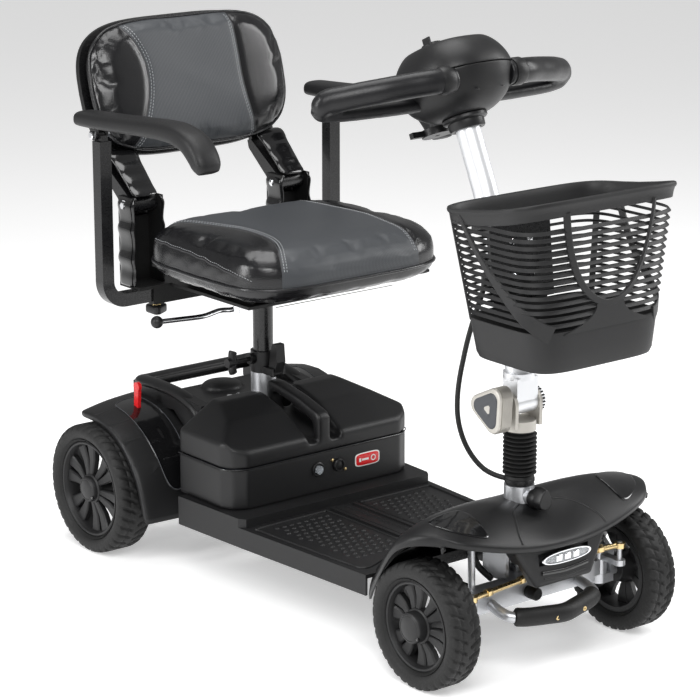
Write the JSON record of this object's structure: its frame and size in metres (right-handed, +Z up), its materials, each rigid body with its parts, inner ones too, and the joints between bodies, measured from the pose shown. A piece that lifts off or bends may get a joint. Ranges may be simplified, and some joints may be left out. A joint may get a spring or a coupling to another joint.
{
  "type": "mobility scooter",
  "caption": "Four-wheel travel mobility scooter with swivel seat, folding backrest, flip-up armrests, tilting tiller, front basket and lift-out battery box.",
  "frame": {"origin": "on the ground, under the middle of the wheelbase", "axes": "+Z up, -Y towards the front, -X towards the rider's right"},
  "size_m": [0.522, 1.124, 0.9295],
  "materials": {
    "frame_paint": "satin",
    "silver_metal": "satin",
    "chrome": "polished",
    "rubber": "matte",
    "deck_plastic": "textured",
    "shell_plastic": "satin",
    "lamp": "clear",
    "motor_metal": "cast",
    "knob_plastic": "satin",
    "battery": "satin",
    "clear_button": "clear",
    "red_plastic": "gloss",
    "zinc": "zinc plated",
    "tyre": "matte",
    "rim": "satin",
    "polished_tube": "polished",
    "basket_plastic": "satin",
    "grip": "soft touch",
    "steel": "brushed",
    "horn_plastic": "gloss",
    "black_steel": "semi gloss",
    "upholstery": "vinyl with woven panel",
    "arm_foam": "moulded foam",
    "cable": "satin"
  },
  "bodies": {
    "chassis": {"main_frame": "frame_paint", "front_beam": "silver_metal", "bumper_tube": "chrome", "bumper_sleeve": "rubber", "floor_deck": "deck_plastic", "front_cowl": "shell_plastic", "nose_panel": "shell_plastic", "headlight": "lamp", "rear_cowl": "shell_plastic", "hatch_cover": "shell_plastic", "drive_unit": "motor_metal", "controller": "motor_metal", "seat_mast": "silver_metal", "mast_collar": "knob_plastic", "battery_case": "shell_plastic", "battery_lid": "shell_plastic", "battery_cells": "battery"},
    "breaker": {"breaker_button": "clear_button"},
    "anti_tip": {"anti_tip_wheels": "knob_plastic"},
    "column_lock": {"lock_knob": "knob_plastic"},
    "mast_clamp": {"clamp_knob": "knob_plastic"},
    "mast_release": {"release_lever": "knob_plastic"},
    "freewheel": {"freewheel_lever": "red_plastic"},
    "steering": {"steering_shaft": "silver_metal", "boot": "rubber", "tilt_yoke": "silver_metal", "cable": "cable"},
    "rods": {"tie_rods": "zinc"},
    "knuckle_r": {"knuckle_right": "silver_metal"},
    "knuckle_l": {"knuckle_left": "silver_metal"},
    "wheel_fr": {"tyre_front_right": "tyre", "rim_front_right": "rim"},
    "wheel_fl": {"tyre_front_left": "tyre", "rim_front_left": "rim"},
    "wheel_rr": {"tyre_rear_right": "tyre", "rim_rear_right": "rim"},
    "wheel_rl": {"tyre_rear_left": "tyre", "rim_rear_left": "rim"},
    "tiller": {"tiller_tube": "polished_tube", "basket": "basket_plastic", "basket_bracket": "basket_plastic", "head_lower": "shell_plastic", "head_upper": "shell_plastic", "handlebar": "grip"},
    "tilt_clamp": {"tilt_knob": "zinc"},
    "dial": {"speed_dial": "knob_plastic"},
    "ignition_key": {"key": "steel"},
    "throttle": {"paddle": "knob_plastic"},
    "horn": {"horn_button": "horn_plastic"},
    "post": {"seat_post": "black_steel"},
    "seat": {"seat_plate": "black_steel", "seat_cushion": "upholstery", "arm_knobs": "knob_plastic"},
    "back": {"back_board": "black_steel", "back_cushion": "upholstery"},
    "arm_r": {"arm_post_right": "black_steel"},
    "arm_l": {"arm_post_left": "black_steel"},
    "pad_r": {"arm_pad_right": "arm_foam"},
    "pad_l": {"arm_pad_left": "arm_foam"},
    "swivel_latch": {"swivel_lever": "chrome"}
  },
  "joints": [
    {"name": "steering_turn", "type": "hinge", "parent": "chassis", "child": "steering", "pos_m": [0, -0.385, 0.3], "axis": [0, 0, 1], "range_deg": [-35, 35]},
    {"name": "knuckle_turn_r", "type": "hinge", "parent": "chassis", "child": "knuckle_r", "pos_m": [-0.15, -0.405, 0.11], "axis": [0, 0, 1], "range_deg": [-35, 35]},
    {"name": "knuckle_turn_l", "type": "hinge", "parent": "chassis", "child": "knuckle_l", "pos_m": [0.15, -0.405, 0.11], "axis": [0, 0, 1], "range_deg": [-35, 35]},
    {"name": "rods_follow", "type": "hinge", "parent": "steering", "child": "rods", "pos_m": [0, -0.43, 0.147], "axis": [0, 0, 1], "range_deg": [-35, 35]},
    {"name": "front_wheel_r", "type": "hinge", "parent": "knuckle_r", "child": "wheel_fr", "pos_m": [-0.1985, -0.405, 0.097], "axis": [1, 0, 0], "continuous": true},
    {"name": "front_wheel_l", "type": "hinge", "parent": "knuckle_l", "child": "wheel_fl", "pos_m": [0.1985, -0.405, 0.097], "axis": [1, 0, 0], "continuous": true},
    {"name": "rear_wheel_r", "type": "hinge", "parent": "chassis", "child": "wheel_rr", "pos_m": [-0.2285, 0.405, 0.11], "axis": [1, 0, 0], "continuous": true},
    {"name": "rear_wheel_l", "type": "hinge", "parent": "chassis", "child": "wheel_rl", "pos_m": [0.2285, 0.405, 0.11], "axis": [1, 0, 0], "continuous": true},
    {"name": "anti_tip_roll", "type": "hinge", "parent": "chassis", "child": "anti_tip", "pos_m": [0, 0.535, 0.045], "axis": [1, 0, 0], "continuous": true},
    {"name": "column_lock_turn", "type": "hinge", "parent": "chassis", "child": "column_lock", "pos_m": [0, -0.42, 0.253], "axis": [0, 1, 0], "continuous": true},
    {"name": "mast_clamp_turn", "type": "hinge", "parent": "chassis", "child": "mast_clamp", "pos_m": [-0.05, 0.253, 0.33], "axis": [1, 0, 0], "continuous": true},
    {"name": "mast_release_lift", "type": "hinge", "parent": "chassis", "child": "mast_release", "pos_m": [0, 0.219, 0.31], "axis": [1, 0, 0], "range_deg": [0, 12]},
    {"name": "freewheel_shift", "type": "hinge", "parent": "chassis", "child": "freewheel", "pos_m": [-0.165, 0.385, 0.203], "axis": [1, 0, 0], "range_deg": [0, 14]},
    {"name": "breaker_press", "type": "slide", "parent": "chassis", "child": "breaker", "axis": [0, 1, 0], "range_m": [0, 0.003], "stiffness_N_per_m": 300},
    {"name": "tiller_tilt", "type": "hinge", "parent": "steering", "child": "tiller", "pos_m": [0, -0.384, 0.395], "axis": [-1, 0, 0], "range_deg": [-5, 25], "deforming": ["cable"]},
    {"name": "tilt_clamp_turn", "type": "hinge", "parent": "tiller", "child": "tilt_clamp", "pos_m": [-0.05, -0.384, 0.395], "axis": [1, 0, 0], "continuous": true},
    {"name": "dial_turn", "type": "hinge", "parent": "tiller", "child": "dial", "pos_m": [0, -0.18169, 0.89486], "axis": [0, 0.4226, 0.9063], "range_deg": [0, 270]},
    {"name": "key_turn", "type": "hinge", "parent": "tiller", "child": "ignition_key", "pos_m": [-0.034, -0.20706, 0.9067], "axis": [0, 0.4226, 0.9063], "range_deg": [0, 90]},
    {"name": "throttle_rock", "type": "hinge", "parent": "tiller", "child": "throttle", "pos_m": [0, -0.18775, 0.77301], "axis": [0, 0.4226, 0.9063], "range_deg": [-15, 15], "stiffness_Nm_per_rad": 0.5},
    {"name": "horn_press", "type": "slide", "parent": "tiller", "child": "horn", "axis": [0, -0.4226, -0.9063], "range_m": [0, 0.002], "stiffness_N_per_m": 200},
    {"name": "seat_height", "type": "slide", "parent": "chassis", "child": "post", "axis": [0, 0, 1], "range_m": [0, 0.06]},
    {"name": "seat_swivel", "type": "hinge", "parent": "post", "child": "seat", "pos_m": [0, 0.253, 0.44], "axis": [0, 0, -1], "continuous": true},
    {"name": "back_fold", "type": "hinge", "parent": "seat", "child": "back", "pos_m": [0, 0.383, 0.59], "axis": [1, 0, 0], "range_deg": [0, 95]},
    {"name": "arm_width_r", "type": "slide", "parent": "seat", "child": "arm_r", "axis": [-1, 0, 0], "range_m": [0, 0.04]},
    {"name": "arm_width_l", "type": "slide", "parent": "seat", "child": "arm_l", "axis": [1, 0, 0], "range_m": [0, 0.04]},
    {"name": "pad_flip_r", "type": "hinge", "parent": "arm_r", "child": "pad_r", "pos_m": [-0.236, 0.375, 0.716], "axis": [-1, 0, 0], "range_deg": [0, 90]},
    {"name": "pad_flip_l", "type": "hinge", "parent": "arm_l", "child": "pad_l", "pos_m": [0.236, 0.375, 0.716], "axis": [-1, 0, 0], "range_deg": [0, 90]},
    {"name": "swivel_release", "type": "hinge", "parent": "seat", "child": "swivel_latch", "pos_m": [-0.075, 0.222, 0.44], "axis": [0, 0, 1], "range_deg": [0, 15], "stiffness_Nm_per_rad": 0.5}
  ],
  "couplings": [
    {"joint": "knuckle_turn_r", "follows": "steering_turn", "ratio": 1},
    {"joint": "knuckle_turn_l", "follows": "steering_turn", "ratio": 1},
    {"joint": "rods_follow", "follows": "steering_turn", "ratio": -1}
  ]
}
